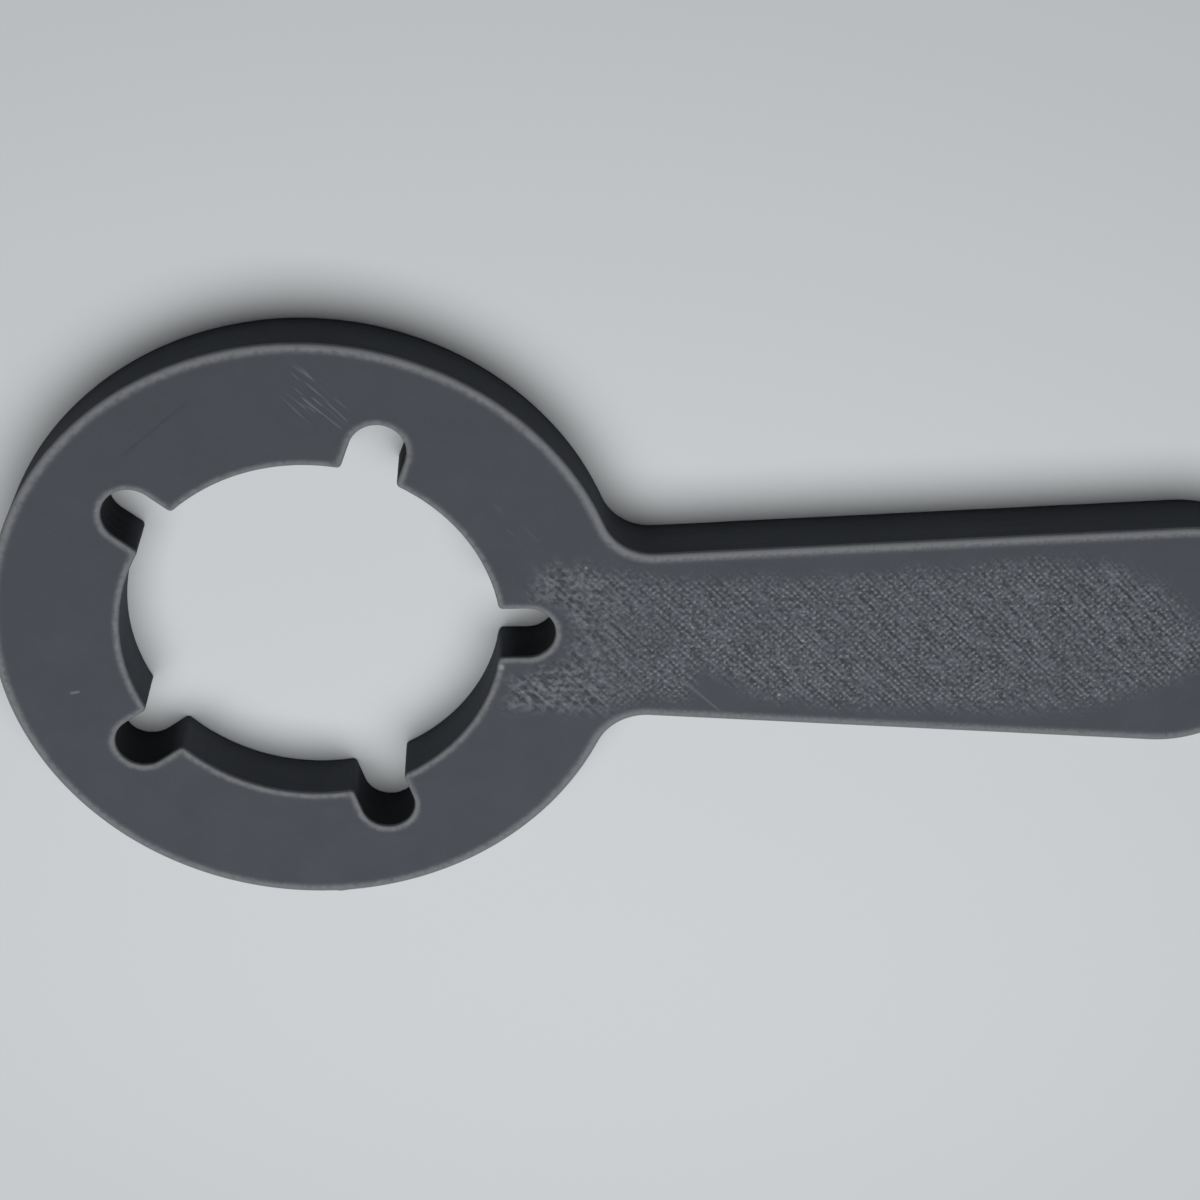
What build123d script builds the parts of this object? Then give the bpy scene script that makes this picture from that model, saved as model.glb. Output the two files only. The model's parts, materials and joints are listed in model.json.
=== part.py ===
"""Gas valve key: a flat slotted ring that drops over a valve's hand wheel, and a flared handle to turn it.

Millimetres. The origin is the centre of the ring on the underside, +X runs out along the handle and +Z points up
out of the top face. The key lies on its underside, as it was printed.
"""

import os

from build123d import *

# The plate that the whole key is made from
thickness = 5.0
top_edge_radius = 0.25

# The ring, and the bore that goes over the hub of the hand wheel
ring_diameter = 50.0
bore_diameter = 30.0

# The slots that take the ribs of the hand wheel, which aren't evenly spaced
slot_width = 4.4
slot_depth = 4.3
slot_mouth_radius = 0.4
slot_angles = (1.0, 71.0, 141.5, 215.5, 289.5)

# The handle, measured from the centre of the ring
handle_reach = 79.0
handle_root_width = 11.7
handle_end_width = 19.8
neck_radius = 4.2

# Worked out from the sizes above
bore_radius = bore_diameter / 2
slot_end_centre = bore_radius + slot_depth - slot_width / 2
slot_start_centre = bore_radius / 2
handle_end_centre = handle_reach - handle_end_width / 2

with BuildPart() as valve_key:
    with BuildSketch() as outline:
        # The handle's straight sides are the two common tangents of a small root circle and a larger end circle
        Circle(handle_root_width / 2)
        with Locations((handle_end_centre, 0)):
            Circle(handle_end_width / 2)
        make_hull()

        # The ring covers the root, and the two corners where the handle leaves it become the necks
        Circle(ring_diameter / 2)
        neck_corners = outline.vertices().filter_by_position(Axis.X, 0, ring_diameter / 2)
        fillet(neck_corners, radius=neck_radius)

        # The bore, opened by one round-ended slot for each rib
        Circle(bore_radius, mode=Mode.SUBTRACT)
        for angle in slot_angles:
            with PolarLocations((slot_start_centre + slot_end_centre) / 2, 1, start_angle=angle):
                SlotCenterToCenter(slot_end_centre - slot_start_centre, slot_width, mode=Mode.SUBTRACT)

        # The corners nearest the centre are the slots' mouths, which the nozzle turned in a small round
        mouth_corners = outline.vertices().group_by(SortBy.DISTANCE)[0]
        fillet(mouth_corners, radius=slot_mouth_radius)
    extrude(amount=thickness)

    # The last bead of plastic rounds every edge of the top face
    top_face = valve_key.faces().sort_by(Axis.Z)[-1]
    fillet(top_face.edges(), radius=top_edge_radius)

valve_key.part.label = "valve_key"

os.makedirs("parts", exist_ok=True)
export_step(valve_key.part, "parts/valve_key.step")
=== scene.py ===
"""Gas valve key: a printed plastic key with a slotted ring and a flared handle, lying on a pale table.

Metres. The origin is the centre of the ring on the underside, +X runs out along the handle and +Z points up
out of the top face. The key is one closed mesh that shows how it was printed: a bead of plastic for each
layer of the walls, beads that follow the edges of its two faces, and slanted beads that fill them.
"""

import json
import logging
import math
from collections.abc import Iterable, Mapping
from dataclasses import dataclass, field
from enum import Enum
from typing import Any

import bpy
import numpy as np
from mathutils import Euler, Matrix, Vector
from mathutils.geometry import delaunay_2d_cdt

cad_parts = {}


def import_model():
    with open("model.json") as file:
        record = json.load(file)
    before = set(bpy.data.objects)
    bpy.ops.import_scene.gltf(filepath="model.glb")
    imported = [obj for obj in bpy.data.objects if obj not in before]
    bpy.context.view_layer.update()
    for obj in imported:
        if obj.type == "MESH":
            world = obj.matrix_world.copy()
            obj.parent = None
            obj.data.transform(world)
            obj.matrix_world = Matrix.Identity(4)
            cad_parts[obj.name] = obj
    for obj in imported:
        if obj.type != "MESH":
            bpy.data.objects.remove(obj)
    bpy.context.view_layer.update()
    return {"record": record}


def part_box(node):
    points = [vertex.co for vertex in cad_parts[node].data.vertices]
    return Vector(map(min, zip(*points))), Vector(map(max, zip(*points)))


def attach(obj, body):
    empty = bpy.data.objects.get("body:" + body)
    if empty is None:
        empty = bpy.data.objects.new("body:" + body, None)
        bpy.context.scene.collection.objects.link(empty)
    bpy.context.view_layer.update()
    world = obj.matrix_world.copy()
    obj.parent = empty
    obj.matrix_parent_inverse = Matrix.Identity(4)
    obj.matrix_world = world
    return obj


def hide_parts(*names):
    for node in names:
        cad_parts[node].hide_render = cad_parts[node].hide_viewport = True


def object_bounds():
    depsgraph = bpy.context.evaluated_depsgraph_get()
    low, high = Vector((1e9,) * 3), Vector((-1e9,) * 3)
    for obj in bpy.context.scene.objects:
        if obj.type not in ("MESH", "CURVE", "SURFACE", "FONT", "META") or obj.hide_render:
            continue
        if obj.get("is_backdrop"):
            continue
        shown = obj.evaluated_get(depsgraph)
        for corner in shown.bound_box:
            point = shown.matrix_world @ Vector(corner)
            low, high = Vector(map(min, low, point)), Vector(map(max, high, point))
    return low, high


MM = 0.001
logger = logging.getLogger("gas_valve_key")

Pair = tuple[float, float]
Triple = tuple[float, float, float]

# The beads of the top face: how far apart they lie, which way they run, and between which distances from the
# origin they change from coarse and flat to fine and deep
TOP_PITCH = 0.411 * MM
TOP_ANGLE = math.radians(-45)
COARSE_REACH = (17 * MM, 30 * MM)


# Outlines


@dataclass(frozen=True)
class Line:
    """A straight stretch of an outline, walked with the plastic on its left."""

    start: Pair
    end: Pair

    @property
    def length(self) -> float:
        """The stretch's length."""
        return math.dist(self.start, self.end)

    def steps(self, spacing: float, most_turn: float) -> int:
        """How many steps of about that spacing the stretch takes."""
        return max(1, math.ceil(self.length / spacing))

    def walk(self, shares: np.ndarray) -> tuple[np.ndarray, np.ndarray]:
        """Points along the stretch.

        Args:
            shares: How far along each point lies, from 0 to 1.

        Returns:
            The points, and the directions that lead out of the plastic there.
        """
        start = np.array(self.start)
        span = np.array(self.end) - start
        outward = np.array([span[1], -span[0]]) / self.length
        return start + shares[:, None] * span, np.tile(outward, (len(shares), 1))

    def distance(self, points: np.ndarray) -> np.ndarray:
        """How far each point lies from the stretch.

        Args:
            points: The points.

        Returns:
            A distance for each point.
        """
        start = np.array(self.start)
        span = np.array(self.end) - start
        share = np.clip((points - start) @ span / (span @ span), 0.0, 1.0)
        return np.linalg.norm(points - start - share[:, None] * span, axis=1)


@dataclass(frozen=True)
class Arc:
    """A round stretch of an outline, with the plastic on its left. A positive turn goes anticlockwise."""

    centre: Pair
    radius: float
    start: float
    turn: float

    def steps(self, spacing: float, most_turn: float) -> int:
        """How many steps of about that spacing, and of no more than most_turn, the stretch takes."""
        return max(math.ceil(self.radius * abs(self.turn) / spacing), math.ceil(abs(self.turn) / most_turn))

    def walk(self, shares: np.ndarray) -> tuple[np.ndarray, np.ndarray]:
        """Points along the stretch.

        Args:
            shares: How far along each point lies, from 0 to 1.

        Returns:
            The points, and the directions that lead out of the plastic there.
        """
        angles = self.start + shares * self.turn
        spokes = np.stack([np.cos(angles), np.sin(angles)], axis=1)
        return np.array(self.centre) + self.radius * spokes, spokes * math.copysign(1.0, self.turn)

    def distance(self, points: np.ndarray) -> np.ndarray:
        """How far each point lies from the stretch.

        Args:
            points: The points.

        Returns:
            A distance for each point.
        """
        arms = points - np.array(self.centre)
        angles = np.arctan2(arms[:, 1], arms[:, 0])
        swept = np.mod((angles - self.start) * math.copysign(1.0, self.turn), math.tau)
        ends, _ = self.walk(np.array([0.0, 1.0]))
        to_start, to_end = (np.linalg.norm(points - end, axis=1) for end in ends)
        to_ring = np.abs(np.linalg.norm(arms, axis=1) - self.radius)
        return np.where(swept <= abs(self.turn), to_ring, np.minimum(to_start, to_end))


@dataclass(frozen=True)
class Loop:
    """A closed outline of straight and round stretches, with the plastic on its left."""

    stretches: tuple[Line | Arc, ...]

    def walk(self, spacing: float, most_turn: float) -> tuple[np.ndarray, np.ndarray]:
        """Points all the way round.

        Args:
            spacing: The most there is between one point and the next.
            most_turn: The most that a round stretch turns between one point and the next.

        Returns:
            The points, and the directions that lead out of the plastic there.
        """
        walks = []
        for stretch in self.stretches:
            steps = stretch.steps(spacing, most_turn)
            walks.append(stretch.walk(np.arange(steps) / steps))
        points, outward = zip(*walks)
        return np.concatenate(points), np.concatenate(outward)

    def distance(self, points: np.ndarray) -> np.ndarray:
        """How far each point lies from the outline."""
        return np.min([stretch.distance(points) for stretch in self.stretches], axis=0)


def within(points: np.ndarray, corners: Iterable[Pair]) -> np.ndarray:
    """Whether each point lies in the ring of straight lines that joins the corners.

    Args:
        points: The points.
        corners: The corners, in their order round the ring.

    Returns:
        True or false for each point.
    """
    x, y = points[:, 0], points[:, 1]
    inside = np.zeros(len(points), bool)
    ring = list(corners)
    for (x0, y0), (x1, y1) in zip(ring, [*ring[1:], ring[0]]):
        if y0 != y1:
            inside ^= ((y0 > y) != (y1 > y)) & (x < x0 + (x1 - x0) * (y - y0) / (y1 - y0))
    return inside


@dataclass(frozen=True)
class KeyOutline:
    """The key seen from above: the ring, its slotted bore and the flared handle.

    The sizes given here repeat those of the part, because the frame doesn't hold them.
    """

    ring_radius: float
    bore_radius: float
    handle_reach: float
    slot_width: float = 4.4 * MM
    slot_depth: float = 4.3 * MM
    slot_mouth_radius: float = 0.4 * MM
    slot_angles: tuple[float, ...] = (1.0, 71.0, 141.5, 215.5, 289.5)
    handle_root_width: float = 11.7 * MM
    handle_end_width: float = 19.8 * MM
    neck_radius: float = 4.2 * MM
    coarse_spacing: float = 2 * MM
    coarse_turn: float = math.radians(10)

    def outer(self) -> Loop:
        """The outer edge: the ring, a neck, one side of the handle, its round end, and back.

        Returns:
            The edge, which runs anticlockwise.
        """
        root_radius = self.handle_root_width / 2
        end_radius = self.handle_end_width / 2
        end_centre = self.handle_reach - end_radius
        flare = math.asin((end_radius - root_radius) / end_centre)
        square = np.array([-math.sin(flare), math.cos(flare)])
        along = np.array([math.cos(flare), math.sin(flare)])

        # A neck's centre lies its radius outside the handle's side, and the same outside the ring
        offset = (root_radius + self.neck_radius) * square
        across = offset @ along
        reach = self.ring_radius + self.neck_radius
        neck_centre = offset + (math.sqrt(across**2 - offset @ offset + reach**2) - across) * along
        neck_angle = math.atan2(neck_centre[1], neck_centre[0])
        neck_turn = neck_angle - flare - math.pi / 2
        side_start = neck_centre - self.neck_radius * square
        side_end = np.array([end_centre, 0.0]) + end_radius * square

        ring = Arc((0.0, 0.0), self.ring_radius, neck_angle, math.tau - 2 * neck_angle)
        lower_neck = Arc((neck_centre[0], -neck_centre[1]), self.neck_radius, math.pi - neck_angle, neck_turn)
        lower_side = Line((side_start[0], -side_start[1]), (side_end[0], -side_end[1]))
        end = Arc((end_centre, 0.0), end_radius, -math.pi / 2 - flare, math.pi + 2 * flare)
        upper_side = Line(tuple(side_end), tuple(side_start))
        upper_neck = Arc(tuple(neck_centre), self.neck_radius, flare - math.pi / 2, neck_turn)
        return Loop((ring, lower_neck, lower_side, end, upper_side, upper_neck))

    def inner(self) -> Loop:
        """The bore's edge, which goes out and back round each slot, clockwise.

        Returns:
            The edge.
        """
        angles = sorted((math.radians(angle) for angle in self.slot_angles), reverse=True)
        stretches: list[Line | Arc] = []
        for angle, before in zip(angles, [angles[-1] + math.tau, *angles[:-1]]):
            stretches.extend(self._slot(angle, before))
        return Loop(tuple(stretches))

    def _slot(self, angle: float, before: float) -> list[Line | Arc]:
        """One slot, and the stretch of the bore that leads to it from the slot before.

        Args:
            angle: The slot's angle from the handle.
            before: The angle of the slot before.

        Returns:
            The stretches, in the order in which they are walked.
        """
        half = self.slot_width / 2
        mouth = self.slot_mouth_radius
        out = np.array([math.cos(angle), math.sin(angle)])
        across = np.array([-math.sin(angle), math.cos(angle)])
        lead = math.asin((half + mouth) / (self.bore_radius + mouth))
        mouth_reach = (self.bore_radius + mouth) * math.cos(lead)
        end_reach = self.bore_radius + self.slot_depth - half
        turn = math.pi / 2 - lead

        near, far = mouth_reach * out, end_reach * out
        return [
            Arc((0.0, 0.0), self.bore_radius, before - lead, angle - before + 2 * lead),
            Arc(tuple(near + (half + mouth) * across), mouth, angle - math.pi + lead, turn),
            Line(tuple(near + half * across), tuple(far + half * across)),
            Arc(tuple(far), half, angle + math.pi / 2, -math.pi),
            Line(tuple(far - half * across), tuple(near - half * across)),
            Arc(tuple(near - (half + mouth) * across), mouth, angle + math.pi / 2, turn),
        ]

    def clearance(self, points: np.ndarray) -> np.ndarray:
        """How far each point lies from the nearest edge."""
        return np.minimum(self.outer().distance(points), self.inner().distance(points))

    def holds(self, points: np.ndarray) -> np.ndarray:
        """Whether each point lies in the plastic.

        Args:
            points: The points.

        Returns:
            True or false for each point.
        """
        outer, _ = self.outer().walk(self.coarse_spacing, self.coarse_turn)
        inner, _ = self.inner().walk(self.coarse_spacing, self.coarse_turn)
        return within(points, outer) ^ within(points, inner)


# Unevenness


class Unevenness:
    """Smooth random values over a plane, the same on every run, which repeat after so many cells."""

    CELLS = 64

    def __init__(self, seed: int, cell: float) -> None:
        """Draws the values.

        Args:
            seed: Which set of values to draw.
            cell: The size of the unevenness.
        """
        self.cell = cell
        self.values = np.random.default_rng(seed).uniform(-1.0, 1.0, (self.CELLS, self.CELLS))

    def at(self, points: np.ndarray) -> np.ndarray:
        """The value at each point, from -1 to 1.

        Args:
            points: The points.

        Returns:
            A value for each point.
        """
        places = points / self.cell
        corner = np.floor(places).astype(int)
        share = places - corner
        share = share * share * (3 - 2 * share)
        x0, y0 = np.mod(corner, self.CELLS).T
        x1, y1 = np.mod(corner + 1, self.CELLS).T
        low = self.values[x0, y0] * (1 - share[:, 0]) + self.values[x1, y0] * share[:, 0]
        high = self.values[x0, y1] * (1 - share[:, 0]) + self.values[x1, y1] * share[:, 0]
        return low * (1 - share[:, 1]) + high * share[:, 1]


def smooth_step(values: np.ndarray, low: float, high: float) -> np.ndarray:
    """Values eased from 0 at low to 1 at high."""
    share = np.clip((values - low) / (high - low), 0.0, 1.0)
    return share * share * (3 - 2 * share)


@dataclass(frozen=True)
class Patch:
    """A part of the top face with a soft edge, given by the corners of its outline in millimetres."""

    corners: tuple[Pair, ...]
    softness: float
    strength: float = 1.0

    def share(self, points: np.ndarray) -> np.ndarray:
        """How far each point lies in the patch: 0 outside, and the patch's strength well inside.

        Args:
            points: The points.

        Returns:
            A share for each point.
        """
        ring = [(x * MM, y * MM) for x, y in self.corners]
        sides = Loop(tuple(Line(start, end) for start, end in zip(ring, [*ring[1:], ring[0]])))
        nearest = sides.distance(points)
        depth = np.where(within(points, ring), nearest, -nearest)
        return self.strength * smooth_step(depth, -self.softness, self.softness)


# Faces


@dataclass
class DrawnLine:
    """A line of points on a face, each sunk by so much: the crest of a bead, or the crease between two."""

    points: np.ndarray
    sink: np.ndarray
    crease: bool
    closed: bool


@dataclass
class Facet:
    """A face as triangles, with the numbers of the points along its outer edge and along its inner one."""

    points: np.ndarray
    sink: np.ndarray
    triangles: np.ndarray
    creases: np.ndarray
    edges: list[np.ndarray]


def fill_between(edges: list[DrawnLine], lines: Iterable[DrawnLine]) -> Facet:
    """Fills a face with triangles that keep to its lines.

    Args:
        edges: The outer edge and then the inner one.
        lines: The lines on the face between them, which don't cross.

    Returns:
        The face.
    """
    everything = [*edges, *lines]
    starts = np.cumsum([0] + [len(line.points) for line in everything])
    segments, creased = [], []
    for line, start in zip(everything, starts):
        ids = np.arange(start, start + len(line.points))
        pairs = np.stack([ids, np.roll(ids, -1)], axis=1)
        pairs = pairs if line.closed else pairs[:-1]
        segments.append(pairs)
        creased.append(np.full(len(pairs), line.crease))
    places = np.concatenate([line.points for line in everything])
    sinks = np.concatenate([line.sink for line in everything])
    creased_segment = np.concatenate(creased)

    # The inner edge runs clockwise, so its ring is turned round to hold the bore
    outer, inner = (list(range(starts[k], starts[k + 1])) for k in range(2))
    rings = [outer, inner[::-1]]
    vectors = [Vector(place) for place in (places / MM).tolist()]
    keep_inside, nearness = 1, 1e-6
    found = delaunay_2d_cdt(vectors, np.concatenate(segments).tolist(), rings, keep_inside, nearness)
    found_points, found_edges, found_faces, from_points, from_edges, from_faces = found

    # A triangle belongs to the face if it lies in the outer ring and not in the inner one
    triangles = [
        face for face, rings_of in zip(found_faces, from_faces) if 0 in rings_of and 1 not in rings_of
    ]
    sink = np.array([sinks[sources[0]] if sources else 0.0 for sources in from_points])
    now = np.full(len(places), -1)
    for new, sources in enumerate(from_points):
        now[sources] = new
    creases = [
        edge for edge, sources in zip(found_edges, from_edges)
        if any(source < len(creased_segment) and creased_segment[source] for source in sources)
    ]
    return Facet(
        points=np.array([tuple(point) for point in found_points]) * MM,
        sink=sink,
        triangles=np.array(triangles),
        creases=np.array(creases).reshape(-1, 2),
        edges=[now[outer], now[inner]],
    )


@dataclass(frozen=True)
class BeadLayout:
    """How the nozzle filled one face: beads along its edges, and slanted beads between them.

    Each sink is how far a crease, or the face's edge, lies below the crests. In the patches the creases are
    deeper and a second layer crosses them, but both are flatter near the origin.
    """

    pitch: float
    angle: float
    edge_beads: int
    edge_sink: float
    fill_sink: float
    edge_spacing: float
    coarse_steps: int
    seed: int
    rim_sink: float = 0.0
    rough_sink: float = 0.0
    cross_sink: float = 0.0
    scatter: float = 0.0
    flat_reach: Pair = (0.0, 1.0)
    flat_share: float = 1.0
    patches: tuple[Patch, ...] = ()
    patch_rag: float = 0.35 * MM
    patch_rag_size: float = 0.8 * MM
    patch_fade: float = 0.15
    patch_fade_size: float = 3 * MM
    least_rough: float = 0.02
    edge_turn: float = math.radians(12)
    edge_gap: float = 0.08 * MM
    edge_slack: float = 0.01 * MM
    edge_least_step: float = 0.3
    edge_unevenness: float = 0.5
    edge_unevenness_size: float = 1.5 * MM
    fill_gap: float = 0.12 * MM

    def roughness(self, points: np.ndarray) -> np.ndarray:
        """How far each point lies in the patches where the beads stand out, from 0 to 1.

        Args:
            points: The points.

        Returns:
            A share for each point.
        """
        found = np.zeros(len(points))
        shifts = [Unevenness(self.seed + k, self.patch_rag_size).at(points) for k in (1, 2)]
        ragged = points + self.patch_rag * np.stack(shifts, axis=1)
        for patch in self.patches:
            found = np.maximum(found, patch.share(ragged))
        fade = self.patch_fade * Unevenness(self.seed + 3, self.patch_fade_size).at(points)
        return found * (1 - self.patch_fade + fade)

    def edge_lines(self, outline: KeyOutline, first: float) -> list[DrawnLine]:
        """The crests and creases of the beads that follow the two edges.

        Args:
            outline: The key's outline.
            first: How far from the outline the face begins.

        Returns:
            The lines, from the edges inward.
        """
        lines = []
        for loop in (outline.outer(), outline.inner()):
            points, outward = loop.walk(self.edge_spacing, self.edge_turn)
            for half_bead in range(1, 2 * self.edge_beads + 1):
                inset = max(half_bead * self.pitch / 2, first + self.edge_gap)
                crease = half_bead % 2 == 0
                moved = points - inset * outward
                moved = moved[outline.clearance(moved) > inset - self.edge_slack]
                gaps = np.linalg.norm(moved - np.roll(moved, 1, axis=0), axis=1)
                moved = moved[gaps > self.edge_least_step * self.edge_spacing]
                sink = np.full(len(moved), self.edge_sink if crease else 0.0)
                uneven = Unevenness(self.seed + half_bead, self.edge_unevenness_size).at(moved)
                sink *= 1 + self.edge_unevenness * uneven
                lines.append(DrawnLine(moved, sink, crease, closed=True))
        return lines

    def fill_lines(self, outline: KeyOutline) -> list[DrawnLine]:
        """The crests and creases of the slanted beads, each cut where it meets the beads along the edges.

        Args:
            outline: The key's outline.

        Returns:
            The lines, which run one way and don't cross.
        """
        along = np.array([math.cos(self.angle), math.sin(self.angle)])
        across = np.array([-along[1], along[0]])
        half = self.pitch / 2
        reach = outline.handle_reach + outline.ring_radius
        count = math.ceil(reach / half)
        rows, steps = np.mgrid[-count:count + 1, -count:count + 1].reshape(2, -1)
        points = half * (rows[:, None] * across + steps[:, None] * along)
        nearby = (points[:, 0] > -outline.ring_radius) & (points[:, 0] < outline.handle_reach)
        nearby &= np.abs(points[:, 1]) < outline.ring_radius
        points, rows, steps = points[nearby], rows[nearby], steps[nearby]
        margin = self.edge_beads * self.pitch + self.fill_gap
        kept = outline.holds(points) & (outline.clearance(points) > margin)
        points, rows, steps = points[kept], rows[kept], steps[kept]

        rough = self.roughness(points)
        beyond = smooth_step(points[:, 0], *self.flat_reach)
        depth = rough * (self.flat_share + (1 - self.flat_share) * beyond)
        creased = rows % 2 == 0
        sink = np.where(creased, self.fill_sink + (self.rough_sink - self.fill_sink) * depth, 0.0)
        sink += self.cross_sink * depth * (steps % 2 == 0)
        sink += self.scatter * rough * np.random.default_rng(self.seed).uniform(-1, 1, len(points))
        fine = (rough > self.least_rough) | (steps % self.coarse_steps == 0)

        # A run is a row's points up to the next gap
        breaks = np.flatnonzero((np.diff(rows) != 0) | (np.diff(steps) != 1)) + 1
        lines = []
        for run in np.split(np.arange(len(points)), breaks):
            chosen = fine[run]
            chosen[[0, -1]] = True
            ids = run[chosen]
            if len(ids) > 1:
                lines.append(DrawnLine(points[ids], sink[ids], bool(creased[run[0]]), closed=False))
        return lines


class Skin:
    """Gathers the points, faces and creases of one closed mesh."""

    def __init__(self) -> None:
        """Starts an empty mesh."""
        self.points: list[np.ndarray] = []
        self.count = 0
        self.faces: list[list[int]] = []
        self.creases: list[np.ndarray] = []

    def add_points(self, points: np.ndarray) -> np.ndarray:
        """Adds points.

        Args:
            points: The points in space.

        Returns:
            Their numbers.
        """
        self.points.append(points)
        self.count += len(points)
        return np.arange(self.count - len(points), self.count)

    def add_faces(self, faces: np.ndarray) -> None:
        """Adds faces, given by the numbers of their points."""
        self.faces.extend(faces.tolist())

    def add_strip(self, above: np.ndarray, below: np.ndarray) -> None:
        """Adds a closed strip of faces between two rows of as many points."""
        self.add_faces(np.stack([above, below, np.roll(below, -1), np.roll(above, -1)], axis=1))

    def add_creases(self, pairs: np.ndarray) -> None:
        """Marks the edges between these pairs of points as creases."""
        self.creases.append(pairs)

    def object(self, name: str) -> bpy.types.Object:
        """Makes the mesh, smooth but for its creases.

        Args:
            name: The object's name.

        Returns:
            The object, linked to the scene.
        """
        mesh = bpy.data.meshes.new(name)
        mesh.from_pydata(np.concatenate(self.points).tolist(), [], self.faces)
        mesh.polygons.foreach_set("use_smooth", np.ones(len(mesh.polygons), bool))
        ends = np.empty(2 * len(mesh.edges), int)
        mesh.edges.foreach_get("vertices", ends)
        creases = np.sort(np.concatenate(self.creases), axis=1)
        ends = np.sort(ends.reshape(-1, 2), axis=1)
        sharp = np.isin(ends[:, 0] * self.count + ends[:, 1], creases[:, 0] * self.count + creases[:, 1])
        mesh.attributes.new("sharp_edge", "BOOLEAN", "EDGE").data.foreach_set("value", sharp)
        mesh.validate()
        mesh.update()
        made = bpy.data.objects.new(name, mesh)
        bpy.context.scene.collection.objects.link(made)
        return made


# The key


class Side(Enum):
    """Which way a face looks."""

    TOP = 1
    UNDERSIDE = -1


class Zone(Enum):
    """A zone that the plastic's material tells apart, held for each point as a share from 0 to 1."""

    ROUGH_BEADS_AND_SHEEN = "rough_beads_and_sheen"
    LINE_HIGHLIGHT = "painted_line_highlight"
    # Painted highlight on the rounded top edges
    RIM_HIGHLIGHT = "painted_rim_highlight"
    SLOT_SHADE = "painted_slot_shade"


@dataclass(frozen=True)
class Wall:
    """A wall of the key: its outline, the spacing of its points, and where its layers begin and end."""

    loop: Loop
    spacing: float
    seam: Pair
    most_turn: float = math.radians(14)

    def walk(self) -> tuple[np.ndarray, np.ndarray]:
        """The points all the way round, and the directions that lead out of the plastic there."""
        return self.loop.walk(self.spacing, self.most_turn)


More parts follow.
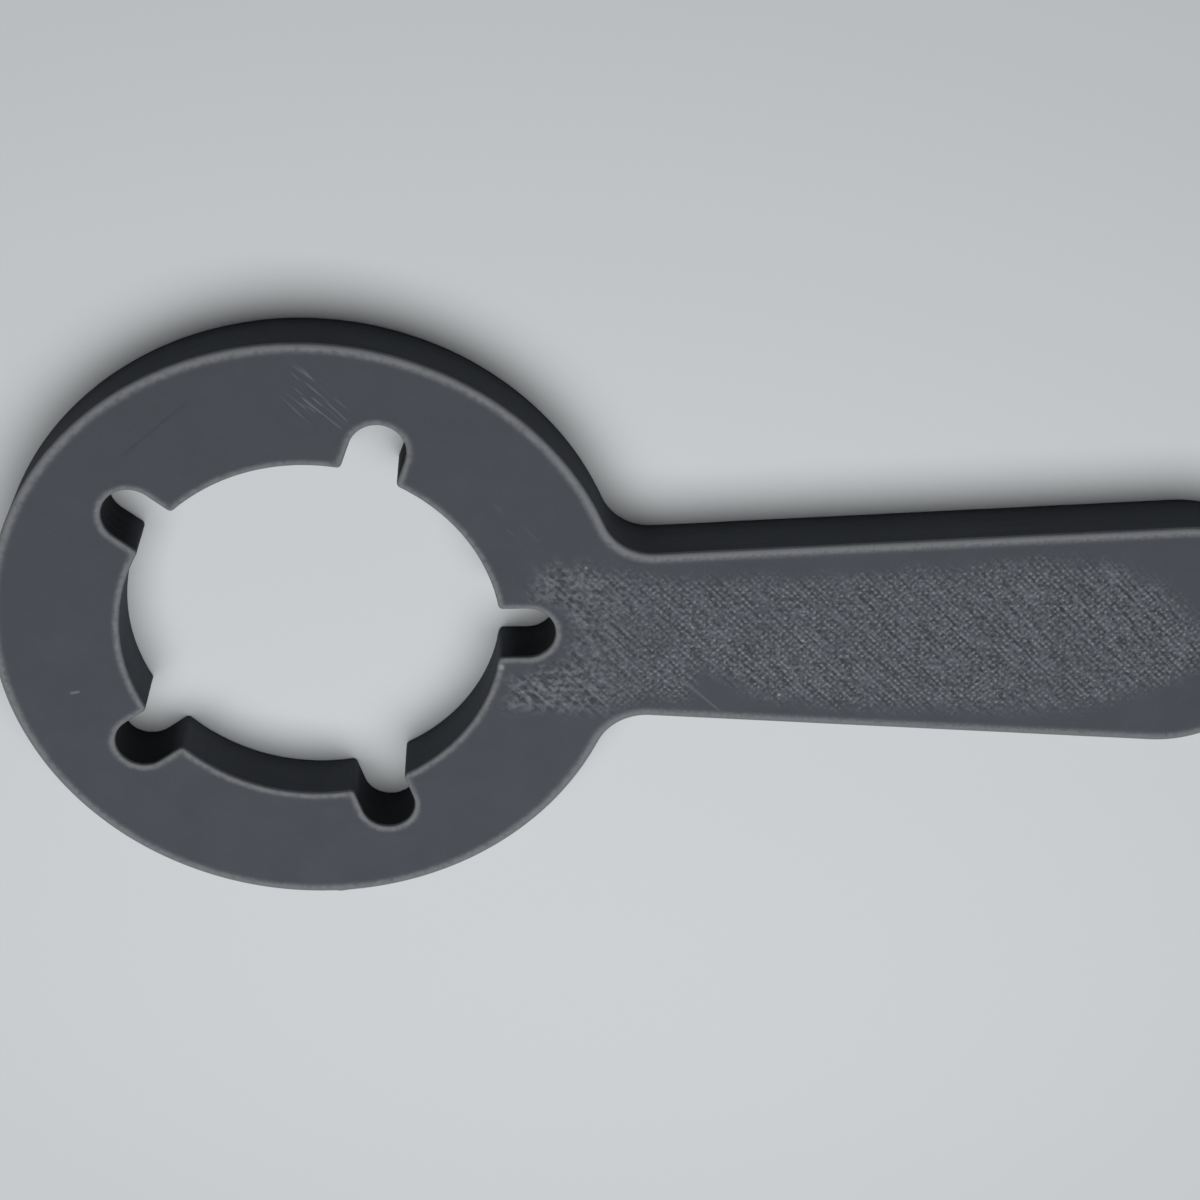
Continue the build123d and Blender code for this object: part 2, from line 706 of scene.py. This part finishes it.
@dataclass
class ValveKey:
    """The key's one mesh, made from the printed beads of its walls and faces."""

    outline: KeyOutline
    thickness: float
    layer_height: float = 0.2 * MM
    layer_sink: float = 0.03 * MM
    layer_waver: float = 0.008 * MM
    waver_length: float = 3 * MM
    top_edge_radius: float = 0.25 * MM
    top_edge_degrees: tuple[float, ...] = (66.0, 42.0, 18.0)
    bed_edge: float = 0.06 * MM
    # How far the painted highlight along the rounded top edges reaches from the outer edge and from the
    # bore's edge, and how strong it is round the bore
    outer_rim_highlight: Pair = (0.15 * MM, 1.10 * MM)
    inner_rim_highlight: Pair = (0.05 * MM, 0.80 * MM)
    inner_rim_highlight_share: float = 0.95
    outer_spacing: float = 0.5 * MM
    inner_spacing: float = 0.32 * MM
    outer_seam: Pair = (1.7 * MM, -24.94 * MM)
    inner_seam: Pair = (14.75 * MM, -2.75 * MM)
    seam_height: float = 0.09 * MM
    seam_width: float = 0.35 * MM
    seam_least: float = 0.4
    # How deep into the slots their walls' painted shade reaches its full darkness
    slot_shade_reach: float = 16.5 * MM
    top_beads: BeadLayout = field(default_factory=lambda: BeadLayout(
        pitch=TOP_PITCH,
        angle=TOP_ANGLE,
        edge_beads=3,
        rim_sink=0.022 * MM,
        edge_sink=0.006 * MM,
        fill_sink=0.003 * MM,
        rough_sink=0.045 * MM,
        cross_sink=0.018 * MM,
        scatter=0.008 * MM,
        flat_reach=COARSE_REACH,
        flat_share=0.75,
        edge_spacing=0.4 * MM,
        coarse_steps=4,
        seed=11,
        patches=(
            Patch(
                (
                    (15.8, -6.6), (23.3, -6.8), (25.6, -5.9), (30.0, -5.9), (30.9, -2.6), (36.7, -5.6),
                    (44.1, -6.5), (55.6, -6.7), (62.2, -6.5), (68.5, -4.4), (71.2, -3.0), (71.8, -1.0),
                    (71.0, 1.0), (67.1, 4.8), (62.9, 6.6), (57.3, 6.9), (43.9, 5.4), (28.5, 4.9), (21.6, 6.5),
                    (18.0, 6.1), (17.5, 3.6), (20.0, 2.9), (20.7, 0.3), (20.2, -2.3), (17.3, -3.5),
                    (15.8, -4.0),
                ),
                softness=1.2 * MM,
            ),
        ),
    ))
    # Patches of the top face where the beads are painted paler along their length: a painted highlight
    line_highlight_patches: tuple[Patch, ...] = (
        Patch(((-1.4, 23.0), (0.9, 23.0), (3.8, 19.6), (2.9, 18.3), (0.1, 18.5), (-1.2, 20.7)), 0.5 * MM),
        Patch(((13.6, 11.4), (15.0, 11.8), (18.0, 8.6), (16.8, 7.9)), 0.6 * MM, strength=0.35),
    )
    underside_beads: BeadLayout = field(default_factory=lambda: BeadLayout(
        pitch=0.48 * MM,
        angle=math.radians(45),
        edge_beads=2,
        edge_sink=0.012 * MM,
        fill_sink=0.012 * MM,
        edge_spacing=0.5 * MM,
        coarse_steps=8,
        seed=31,
    ))

    def build(self) -> bpy.types.Object:
        """Makes the key and gives it its place in the frame.

        Returns:
            The key, which stands for the valve_key node.
        """
        top = self._face(self.top_beads, self.top_edge_radius)
        underside = self._face(self.underside_beads, self.bed_edge)
        skin = Skin()
        top_ids = skin.add_points(self._place(top, self.thickness, Side.TOP))
        underside_ids = skin.add_points(self._place(underside, 0.0, Side.UNDERSIDE))
        skin.add_faces(top_ids[top.triangles])
        skin.add_faces(underside_ids[underside.triangles[:, ::-1]])
        skin.add_creases(top_ids[top.creases])
        skin.add_creases(underside_ids[underside.creases])
        _, inner_ids = [
            self._add_wall(skin, wall, top_ids[top_edge], underside_ids[bed_edge])
            for wall, top_edge, bed_edge in zip(self._walls(), top.edges, underside.edges)
        ]
        key = skin.object("printed_key")
        for zone, shares in self._zones(np.concatenate(skin.points), top_ids, inner_ids).items():
            marks = key.data.attributes.new(zone.value, "FLOAT", "POINT")
            marks.data.foreach_set("value", shares.astype(np.float32))
        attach(key, "root")
        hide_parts("valve_key")
        return key

    def _zones(
        self, places: np.ndarray, top_ids: np.ndarray, inner_ids: np.ndarray
    ) -> dict[Zone, np.ndarray]:
        """How far each point lies in each zone.

        Args:
            places: The key's points.
            top_ids: The numbers of those on the top face.
            inner_ids: The numbers of those on the wall of the bore and its slots.

        Returns:
            For each zone, a share for every point.
        """
        plan = places[:, :2]
        rough, line_highlight, slot_shaded = (np.zeros(len(places)) for _ in range(3))
        rough[top_ids] = self.top_beads.roughness(plan[top_ids])
        line_highlight[top_ids] = np.max([patch.share(plan[top_ids]) for patch in self.line_highlight_patches], axis=0)
        # The rounded top edges carry a painted highlight: how far each point lies in it
        outer_highlight = 1 - smooth_step(self.outline.outer().distance(plan), *self.outer_rim_highlight)
        inner_highlight = 1 - smooth_step(self.outline.inner().distance(plan), *self.inner_rim_highlight)
        shoulder = self.thickness - self.top_edge_radius
        rim_highlight = np.maximum(outer_highlight, self.inner_rim_highlight_share * inner_highlight)
        rim_highlight *= smooth_step(places[:, 2], shoulder - self.top_edge_radius / 2, shoulder)
        # Painted shade on the slot walls, growing from the bore into the slots and left off the painted rim
        # highlight
        reach = np.linalg.norm(plan[inner_ids], axis=1)
        in_slot = smooth_step(reach, self.outline.bore_radius, self.slot_shade_reach)
        slot_shaded[inner_ids] = (1 - rim_highlight[inner_ids]) * in_slot
        return {
            Zone.ROUGH_BEADS_AND_SHEEN: rough,
            Zone.LINE_HIGHLIGHT: line_highlight,
            Zone.RIM_HIGHLIGHT: rim_highlight,
            Zone.SLOT_SHADE: slot_shaded,
        }

    def _walls(self) -> tuple[Wall, Wall]:
        """The outer wall, and that of the bore and its slots."""
        return (
            Wall(self.outline.outer(), self.outer_spacing, self.outer_seam),
            Wall(self.outline.inner(), self.inner_spacing, self.inner_seam),
        )

    def _face(self, beads: BeadLayout, edge_inset: float) -> Facet:
        """One face, filled with its beads.

        Args:
            beads: How its beads lie.
            edge_inset: How far from the outline the face ends.

        Returns:
            The face.
        """
        edges = []
        for wall in self._walls():
            points, outward = wall.walk()
            sink = np.full(len(points), beads.rim_sink)
            edges.append(DrawnLine(points - edge_inset * outward, sink, crease=False, closed=True))
        lines = beads.edge_lines(self.outline, edge_inset) + beads.fill_lines(self.outline)
        return fill_between(edges, lines)

    def _place(self, facet: Facet, height: float, side: Side) -> np.ndarray:
        """The face's points in space, sunk into the plastic where the beads dip.

        Args:
            facet: The face.
            height: The height of its crests.
            side: Which way it looks.

        Returns:
            The points.
        """
        # No crest of the underside reaches below the table
        sink = np.maximum(facet.sink, 0.0) if side is Side.UNDERSIDE else facet.sink
        return np.column_stack([facet.points, height - side.value * sink])

    def _profile(self) -> list[tuple[float, float, bool]]:
        """A wall's section from the top down.

        Returns:
            For each row its inset from the outline, its height, and whether it is a crease.
        """
        rows = []
        for degrees in self.top_edge_degrees:
            swing = math.radians(degrees)
            inset = self.top_edge_radius * (1 - math.cos(swing))
            drop = self.top_edge_radius * (1 - math.sin(swing)) + self.top_beads.rim_sink * math.sin(swing)
            rows.append((inset, self.thickness - drop, False))
        layers = round(self.thickness / self.layer_height)
        for layer in range(1, layers):
            height = self.thickness - layer * self.layer_height
            rows.append((self.layer_sink, height, True))
            rows.append((0.0, height - self.layer_height / 2, False))
        return rows

    def _add_wall(self, skin: Skin, wall: Wall, top_row: np.ndarray, bed_row: np.ndarray) -> np.ndarray:
        """Adds one wall between the edges of the two faces.

        Args:
            skin: The mesh to add to.
            wall: The wall.
            top_row: The numbers of the points along the top face's edge.
            bed_row: The numbers of the points along the underside's edge.

        Returns:
            The numbers of the wall's own points.
        """
        points, outward = wall.walk()
        along = np.cumsum(np.linalg.norm(points - np.roll(points, 1, axis=0), axis=1))
        length = along[-1]
        knots = round(length / self.waver_length)
        knot_places = np.arange(knots) * length / knots
        to_seam = np.linalg.norm(points - np.array(wall.seam), axis=1)
        ridge = self.seam_height * np.exp(-((to_seam / self.seam_width) ** 2))
        draw = np.random.default_rng(len(points))
        rows = [top_row]
        for inset, height, crease in self._profile():
            waver = np.interp(along, knot_places, draw.uniform(-1, 1, knots), period=length)
            moved = inset + self.layer_waver * waver - ridge * draw.uniform(self.seam_least, 1.0)
            plan = points - moved[:, None] * outward
            row = skin.add_points(np.column_stack([plan, np.full(len(points), height)]))
            skin.add_strip(rows[-1], row)
            if crease:
                skin.add_creases(np.stack([row, np.roll(row, -1)], axis=1))
            rows.append(row)
        skin.add_strip(rows[-1], bed_row)
        return np.concatenate(rows[1:])


# Shader maths


class Signal:
    """A shader socket that can be used in sums."""

    def __init__(self, graph: "ShaderGraph", socket: bpy.types.NodeSocket) -> None:
        """Wraps a socket of that graph."""
        self.graph = graph
        self.socket = socket

    def _math(self, operation: str, first: "Signal | float", second: "Signal | float") -> "Signal":
        """A Math node on two values."""
        return self.graph.node("ShaderNodeMath", {"operation": operation}, {0: first, 1: second})["Value"]

    def __add__(self, other: "Signal | float") -> "Signal":
        """The sum."""
        return self._math("ADD", self, other)

    def __radd__(self, other: float) -> "Signal":
        """The sum, from the right."""
        return self._math("ADD", other, self)

    def __sub__(self, other: "Signal | float") -> "Signal":
        """The difference."""
        return self._math("SUBTRACT", self, other)

    def __rsub__(self, other: float) -> "Signal":
        """The difference, from the right."""
        return self._math("SUBTRACT", other, self)

    def __mul__(self, other: "Signal | float") -> "Signal":
        """The product."""
        return self._math("MULTIPLY", self, other)

    def __rmul__(self, other: float) -> "Signal":
        """The product, from the right."""
        return self._math("MULTIPLY", other, self)

    def larger(self, other: "Signal | float") -> "Signal":
        """The larger of two values."""
        return self._math("MAXIMUM", self, other)

    def eased(self, low: float, high: float) -> "Signal":
        """The value eased from 0 at low to 1 at high."""
        settings = {"interpolation_type": "SMOOTHSTEP"}
        return self.graph.node("ShaderNodeMapRange", settings, {"Value": self, 1: low, 2: high})["Result"]


class Made:
    """A node that was made, whose outputs are signals."""

    def __init__(self, graph: "ShaderGraph", node: bpy.types.Node) -> None:
        """Wraps a node of that graph."""
        self.graph = graph
        self.node = node

    def __getitem__(self, name: str | int) -> Signal:
        """The output of that name or number."""
        return Signal(self.graph, self.node.outputs[name])


class ShaderGraph:
    """The nodes of one material or of the world."""

    def __init__(self, owner: bpy.types.Material | bpy.types.World) -> None:
        """Starts from no nodes at all.

        Args:
            owner: The material or world that gets the nodes.
        """
        owner.use_nodes = True
        self.tree = owner.node_tree
        self.tree.nodes.clear()

    def node(
        self,
        kind: str,
        settings: Mapping[str, Any] | None = None,
        inputs: Mapping[str | int, Any] | None = None,
    ) -> Made:
        """Adds a node.

        Args:
            kind: The node's type.
            settings: Its properties, set before its sockets.
            inputs: For each socket, by name or number, a value or a signal to link.

        Returns:
            The node.
        """
        made = self.tree.nodes.new(kind)
        for name, value in (settings or {}).items():
            setattr(made, name, value)
        for name, value in (inputs or {}).items():
            if isinstance(value, Signal):
                self.tree.links.new(value.socket, made.inputs[name])
            else:
                made.inputs[name].default_value = value
        return Made(self, made)

    def mix(
        self, factor: Signal | float, low: Signal | tuple, high: Signal | tuple, blend: str = "MIX"
    ) -> Signal:
        """Blends two colours by a factor."""
        settings = {"data_type": "RGBA", "blend_type": blend}
        return self.node("ShaderNodeMix", settings, {0: factor, 6: low, 7: high})[2]

    def local(
        self, place: Signal, angle: float, scale: Triple = (1.0, 1.0, 1.0), origin: Triple = (0.0, 0.0, 0.0)
    ) -> Signal:
        """The place as measured from an origin, along axes that are turned and scaled."""
        inputs = {"Vector": place, "Location": origin, "Rotation": (0.0, 0.0, angle), "Scale": scale}
        return self.node("ShaderNodeMapping", {"vector_type": "TEXTURE"}, inputs)["Vector"]


def opaque(colour: Triple) -> tuple[float, float, float, float]:
    """A colour with its alpha of one."""
    return (*colour, 1.0)


@dataclass(frozen=True)
class Scratch:
    """A straight scratch on the top face, in millimetres, that runs out at its two ends."""

    start: Pair
    end: Pair
    width: float
    strength: float
    colour: Triple
    run_out: float = 0.2


@dataclass(frozen=True)
class Speck:
    """A pale grain on the top face, in millimetres, with a soft edge round its core."""

    place: Pair
    radius: float
    core: float = 0.4


@dataclass(frozen=True)
class PrintedPlastic:
    """Charcoal plastic as it leaves a nozzle: matte and faintly mottled. Its colour also holds painted light:
    a painted sheen of glints and pit shade where its beads show, painted highlights along some beads and on
    the rounded top edges, and painted shade on the slot walls.
    """

    top_height: float
    colour: Triple = (0.066, 0.072, 0.084)
    painted_glint_colour: Triple = (0.225, 0.232, 0.235)
    rim_highlight_colour: Triple = (0.165, 0.172, 0.184)
    line_highlight_colour: Triple = (0.116, 0.127, 0.146)
    speck_colour: Triple = (0.24, 0.245, 0.25)
    roughness: float = 0.8
    bead_roughness: float = 0.52
    rim_roughness: float = 0.45
    specular: float = 0.15
    noise_roughness: float = 0.6
    mottle_size: float = 3.5 * MM
    mottle: float = 0.14
    mottle_roughness: float = 0.1
    grain_size: float = 0.16 * MM
    grain: float = 0.10
    speckle_size: float = 0.33 * MM
    coarse_speckle_size: float = 0.44 * MM
    speckle: float = 2.6
    lattice: float = 0.2
    streak_length: float = 3.0 * MM
    streak_width: float = 0.30 * MM
    streak: float = 2.4
    bead_sheen_tone: float = 1.15
    slot_shade_tone: float = 0.35
    painted_glint_range: Pair = (0.42, 0.68)
    coarse_crossing: float = 0.35
    line_highlight_range: Pair = (0.57, 0.68)
    least_rim_highlight: float = 0.4
    rim_highlight_speckle: float = 1.2
    bead_wander: float = 1.2
    wander_detail: float = 0.2
    speckle_height: float = 0.05 * MM
    streak_height: float = 0.5
    darkest_pit_tone: float = 0.5
    scratch_fade: Pair = (1.0 * MM, 0.5 * MM)
    scratches: tuple[Scratch, ...] = (
        Scratch((-14.2, 15.2), (-7.9, 20.7), width=0.14, strength=0.20, colour=(0.018, 0.020, 0.025)),
        Scratch((29.0, -3.5), (33.0, -7.2), width=0.14, strength=0.45, colour=(0.150, 0.155, 0.165)),
        Scratch((-19.35, -5.25), (-18.45, -5.05), width=0.15, strength=0.75, colour=(0.180, 0.185, 0.190)),
    )
    specks: tuple[Speck, ...] = (
        Speck((37.45, -5.42), 0.20),
        Speck((39.04, -0.34), 0.17),
        Speck((38.93, 2.34), 0.12),
        Speck((30.10, 0.95), 0.12),
        Speck((21.57, 6.28), 0.14),
        # This speck paints a highlight on the bore's rounded edge beside the wall's seam
        Speck((14.98, -2.80), 0.34),
    )

    def material(self) -> bpy.types.Material:
        """Makes the material.

        Returns:
            The material.
        """
        material = bpy.data.materials.new("charcoal_plastic")
        graph = ShaderGraph(material)
        place = graph.node("ShaderNodeTexCoord")["Object"]
        parts = graph.node("ShaderNodeSeparateXYZ", inputs={0: place})
        on_top = parts["Z"].eased(*(self.top_height - depth for depth in self.scratch_fade))
        coarse = 1.0 - parts["X"].eased(*COARSE_REACH)
        beads, line_highlight, rim_highlight, slot_shaded = (
            graph.node("ShaderNodeAttribute", {"attribute_name": zone.value})["Fac"] for zone in Zone
        )
        mottle = self._noise(graph, place, self.mottle_size, detail=3.0)
        grain = self._noise(graph, place, self.grain_size, detail=2.0)
        streaks = self._streaks(graph, place)
        speckle = self._noise(graph, place, self.speckle_size, detail=1.0)
        coarse_speckle = self._noise(graph, place, self.coarse_speckle_size, detail=1.0)
        speckle = speckle + coarse * (coarse_speckle - speckle)

        # Where the beads stand out, the colour holds a painted sheen: paler overall, with painted highlights
        # in dashes and painted shade in the pits, the highlights most on the crests of two crossing layers
        upper, lower = self._bands(graph, place, "X"), self._bands(graph, place, "Y")
        glints_and_pits = (speckle - 0.5) * self.speckle + (streaks - 0.5) * self.streak
        glints_and_pits = glints_and_pits + (upper + lower - 1.0) * (1.0 - coarse) * self.lattice
        bead_sheen_tone = (self.bead_sheen_tone + glints_and_pits).larger(self.darkest_pit_tone)
        tone = 1.0 + (mottle - 0.5) * (2 * self.mottle) + (grain - 0.5) * (2 * self.grain)
        # The slot walls are painted darker: painted shade
        tone = tone * (1.0 + beads * (bead_sheen_tone - 1.0)) * (1.0 - slot_shaded * (1.0 - self.slot_shade_tone))
        rim_highlight = (rim_highlight * (self.least_rim_highlight + self.rim_highlight_speckle * speckle)).eased(0.0, 1.0)
        crossing = upper * lower
        crossing = crossing + coarse * (self.coarse_crossing - crossing)
        # Painted highlight: glints mixed into the colour on the bead crests
        painted_glint = beads * crossing * speckle.eased(*self.painted_glint_range)
        shade = graph.node("ShaderNodeCombineColor", inputs={0: tone, 1: tone, 2: tone})["Color"]
        base = graph.mix(1.0, opaque(self.colour), shade, blend="MULTIPLY")
        base = graph.mix(painted_glint, base, opaque(self.painted_glint_colour))
        # Painted highlight: in those patches the beads are painted paler along their streaks
        base = graph.mix(line_highlight * streaks.eased(*self.line_highlight_range), base, opaque(self.line_highlight_colour))
        # Painted highlight: the rounded top edges are painted paler
        base = graph.mix(rim_highlight, base, opaque(self.rim_highlight_colour))
        for scratch in self.scratches:
            base = graph.mix(on_top * self._scratch(graph, place, scratch), base, opaque(scratch.colour))
        for speck in self.specks:
            base = graph.mix(self._speck(graph, place, speck), base, opaque(self.speck_colour))

        roughness = self.roughness + beads * (self.bead_roughness - self.roughness)
        roughness = roughness + rim_highlight * (self.rim_roughness - self.roughness)
        roughness = roughness + (mottle - 0.5) * self.mottle_roughness
        height = beads * (speckle + self.streak_height * streaks)
        bump = graph.node("ShaderNodeBump", inputs={
            "Strength": 1.0, "Distance": self.speckle_height, "Height": height})["Normal"]
        surface = graph.node("ShaderNodeBsdfPrincipled", inputs={
            "Base Color": base, "Roughness": roughness, "Normal": bump, "Specular IOR Level": self.specular})
        graph.node("ShaderNodeOutputMaterial", inputs={"Surface": surface["BSDF"]})
        return material

    def _noise(self, graph: ShaderGraph, place: Signal, size: float, detail: float) -> Signal:
        """Even noise of about that size."""
        return graph.node("ShaderNodeTexNoise", inputs={
            "Vector": place,
            "Scale": 1 / size,
            "Detail": detail,
            "Roughness": self.noise_roughness,
        })["Fac"]

    def _streaks(self, graph: ShaderGraph, place: Signal) -> Signal:
        """Noise drawn out along the beads."""
        along = graph.local(place, TOP_ANGLE, (self.streak_length, self.streak_width, MM))
        return graph.node("ShaderNodeTexNoise", inputs={"Vector": along, "Scale": 1.0, "Detail": 1.0})["Fac"]

    def _bands(self, graph: ShaderGraph, place: Signal, direction: str) -> Signal:
        """Even bands one bead wide, along the beads or across them, that wander a little.

        Args:
            graph: The material's nodes.
            place: The point.
            direction: The axis, X along the beads or Y across them, that the bands follow.

        Returns:
            A value from 0 between two bands to 1 on one.
        """
        settings = {"wave_type": "BANDS", "bands_direction": direction, "wave_profile": "SIN"}

        # The texture's own bands lie a tenth of pi apart
        return graph.node("ShaderNodeTexWave", settings, {
            "Vector": graph.local(place, TOP_ANGLE),
            "Scale": math.pi / 10 / TOP_PITCH,
            "Distortion": self.bead_wander,
            "Detail Scale": self.wander_detail,
        })["Fac"]

    def _scratch(self, graph: ShaderGraph, place: Signal, scratch: Scratch) -> Signal:
        """How far a point lies in that scratch, at any height.

        Args:
            graph: The material's nodes.
            place: The point.
            scratch: The scratch.

        Returns:
            A share from 0 to the scratch's strength.
        """
        (x0, y0), (x1, y1) = scratch.start, scratch.end
        scale = (math.dist(scratch.start, scratch.end) * MM, scratch.width * MM, MM)
        local = graph.local(place, math.atan2(y1 - y0, x1 - x0), scale, (x0 * MM, y0 * MM, 0.0))
        parts = graph.node("ShaderNodeSeparateXYZ", inputs={0: local})
        along, across = parts["X"], parts["Y"]
        ends = along.eased(0.0, scratch.run_out) * (1.0 - along.eased(1.0 - scratch.run_out, 1.0))
        return ends * (1.0 - across * across).larger(0.0) * scratch.strength

    def _speck(self, graph: ShaderGraph, place: Signal, speck: Speck) -> Signal:
        """How far a point lies in that speck.

        Args:
            graph: The material's nodes.
            place: The point.
            speck: The speck.

        Returns:
            A share from 0 to 1.
        """
        x, y = speck.place
        centre = (x * MM, y * MM, self.top_height)
        away = graph.node("ShaderNodeVectorMath", {"operation": "DISTANCE"}, {0: place, 1: centre})["Value"]
        return 1.0 - away.eased(speck.core * speck.radius * MM, speck.radius * MM)


@dataclass(frozen=True)
class TableTop:
    """A plain pale table, which the camera sees fade into the backdrop far from the key."""

    colour: Triple = (0.62, 0.645, 0.66)
    roughness: float = 0.7
    specular: float = 0.3
    far_colour: Triple = (0.601, 0.614, 0.62)
    fade: Pair = (0.11, 0.28)

    def material(self) -> bpy.types.Material:
        """Makes the material.

        Returns:
            The material.
        """
        material = bpy.data.materials.new("pale_table")
        graph = ShaderGraph(material)
        near = graph.node("ShaderNodeBsdfPrincipled", inputs={
            "Base Color": opaque(self.colour),
            "Roughness": self.roughness,
            "Specular IOR Level": self.specular,
        })
        far = graph.node("ShaderNodeEmission", inputs={"Color": opaque(self.far_colour), "Strength": 1.0})
        place = graph.node("ShaderNodeTexCoord")["Object"]
        away = graph.node("ShaderNodeVectorMath", {"operation": "LENGTH"}, {0: place})["Value"]
        seen = graph.node("ShaderNodeLightPath")["Is Camera Ray"]
        both = graph.node("ShaderNodeMixShader", inputs={
            0: seen * away.eased(*self.fade), 1: near["BSDF"], 2: far["Emission"]})
        graph.node("ShaderNodeOutputMaterial", inputs={"Surface": both["Shader"]})
        return material


# The studio


@dataclass(frozen=True)
class Softbox:
    """A soft lamp that looks at the key, and whose level is how bright white paper facing it would look."""

    elevation: float = math.radians(72.7)
    azimuth: float = math.radians(-6)
    distance: float = 0.214
    width: float = 0.36
    depth: float = 0.217
    level: float = 0.94
    spread: float = math.radians(130)

    def build(self, aim: Vector) -> None:
        """Hangs the lamp.

        Args:
            aim: The point that it looks at.
        """
        lamp = bpy.data.lights.new("main_softbox", "AREA")
        lamp.shape = "RECTANGLE"
        lamp.size = self.width
        lamp.size_y = self.depth
        lamp.spread = self.spread
        lamp.energy = self.level * (math.pi * self.distance) ** 2
        made = bpy.data.objects.new("main_softbox", lamp)
        back = Vector((
            math.cos(self.elevation) * math.sin(self.azimuth),
            -math.cos(self.elevation) * math.cos(self.azimuth),
            math.sin(self.elevation),
        ))
        made.location = aim + self.distance * back
        made.rotation_euler = back.to_track_quat("Z", "Y").to_euler()
        bpy.context.scene.collection.objects.link(made)
        logger.info("lamp hung")


@dataclass(frozen=True)
class Studio:
    """The pale table, the soft light over it and the camera above the key, whose tilt is in degrees."""

    table_size: float = 3.0
    table: TableTop = TableTop()
    lamp: Softbox = Softbox()
    ambient: float = 0.015
    ambient_colour: Triple = (1.0, 1.0, 1.0)
    backdrop: float = 0.62
    backdrop_colour: Triple = (0.97, 0.99, 1.0)
    camera_place: Triple = (14.245 * MM, 90.907 * MM, 157.879 * MM)
    camera_tilt: Triple = (-29.8160, -2.3554, 1.4400)
    lens: float = 67.317
    sensor: float = 36.0
    nearest_view: float = 5 * MM

    def build(self, aim: Vector) -> None:
        """Builds the studio round the key.

        Args:
            aim: The point that the lamp looks at.
        """
        self._lay_table()
        self._light_world()
        self.lamp.build(aim)
        self._place_camera()

    def _lay_table(self) -> None:
        """Lays the table under the key."""
        half = self.table_size / 2
        mesh = bpy.data.meshes.new("table")
        corners = [(-half, -half, 0), (half, -half, 0), (half, half, 0), (-half, half, 0)]
        mesh.from_pydata(corners, [], [(0, 1, 2, 3)])
        table = bpy.data.objects.new("table", mesh)
        table.data.materials.append(self.table.material())
        bpy.context.scene.collection.objects.link(table)
        table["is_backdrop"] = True
        logger.info("table laid")

    def _light_world(self) -> None:
        """Gives the world a dim even light, and a pale colour where the camera sees it."""
        world = bpy.data.worlds.new("studio")
        bpy.context.scene.world = world
        graph = ShaderGraph(world)
        seen = graph.node("ShaderNodeLightPath")["Is Camera Ray"]
        glows = ((self.ambient_colour, self.ambient), (self.backdrop_colour, self.backdrop))
        dim, pale = (
            graph.node("ShaderNodeBackground", inputs={
                "Color": opaque(colour), "Strength": level})["Background"]
            for colour, level in glows
        )
        both = graph.node("ShaderNodeMixShader", inputs={0: seen, 1: dim, 2: pale})
        graph.node("ShaderNodeOutputWorld", inputs={"Surface": both["Shader"]})

    def _place_camera(self) -> None:
        """Places the camera as the photograph was taken."""
        camera = bpy.data.cameras.new("camera")
        camera.lens = self.lens
        camera.sensor_width = self.sensor
        camera.clip_start = self.nearest_view
        made = bpy.data.objects.new("camera", camera)
        made.location = self.camera_place
        made.rotation_euler = Euler([math.radians(angle) for angle in self.camera_tilt], "XYZ")
        bpy.context.scene.collection.objects.link(made)
        bpy.context.scene.camera = made
        logger.info("camera placed")


def main() -> None:
    """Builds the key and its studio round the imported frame."""
    logging.basicConfig(level=logging.INFO, format="%(message)s")
    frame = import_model()
    bpy.context.scene.view_settings.view_transform = "Standard"

    low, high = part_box("valve_key")
    bore = next(mount for mount in frame["record"]["mounts"] if mount["name"] == "hub_bore")
    outline = KeyOutline(ring_radius=-low.x, bore_radius=bore["dims"]["r_mm"] * MM, handle_reach=high.x)
    key = ValveKey(outline, thickness=high.z)
    printed = key.build()
    printed.data.materials.append(PrintedPlastic(top_height=key.thickness).material())
    triangles = sum(len(face.vertices) - 2 for face in printed.data.polygons)
    logger.info("%s: %d triangles", printed.name, triangles)

    Studio().build(Vector((outline.handle_reach / 3, 0.0, key.thickness)))

    low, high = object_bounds()


if __name__ == "__main__":
    main()
